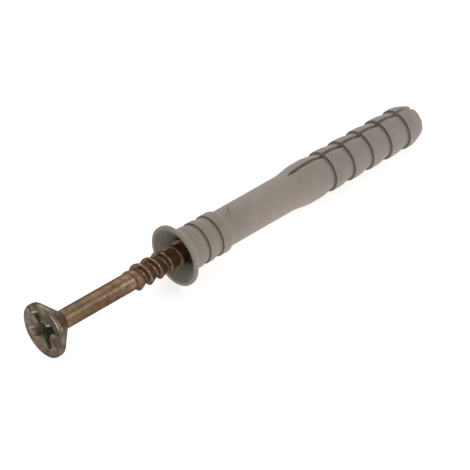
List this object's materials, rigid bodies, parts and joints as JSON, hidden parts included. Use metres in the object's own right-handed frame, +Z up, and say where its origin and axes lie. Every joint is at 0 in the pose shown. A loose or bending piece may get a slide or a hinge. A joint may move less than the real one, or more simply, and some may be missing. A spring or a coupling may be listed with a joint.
{
  "type": "wall plug with screw",
  "caption": "Grey nylon hammer-in wall plug with funnel collar, neck rings, barbed split legs and a started countersunk cross-recess steel screw.",
  "frame": {"origin": "on the plug's axis in the plane of the collar's front face", "axes": "+X along the plug from the collar to the tip, +Z up through the slit as the plug lies on its side"},
  "size_m": [0.0897, 0.0114, 0.0114],
  "materials": {
    "grey_nylon": "satin moulded",
    "brown_plated_steel": "dull yellow-brown plating"
  },
  "bodies": {
    "plug": {"plug": "grey_nylon"},
    "screw": {"drive_screw": "brown_plated_steel"}
  },
  "joints": [
    {"name": "screw_drive", "type": "slide", "parent": "plug", "child": "screw", "axis": [1, 0, 0], "range_m": [-0.0353, 0.0289]}
  ]
}
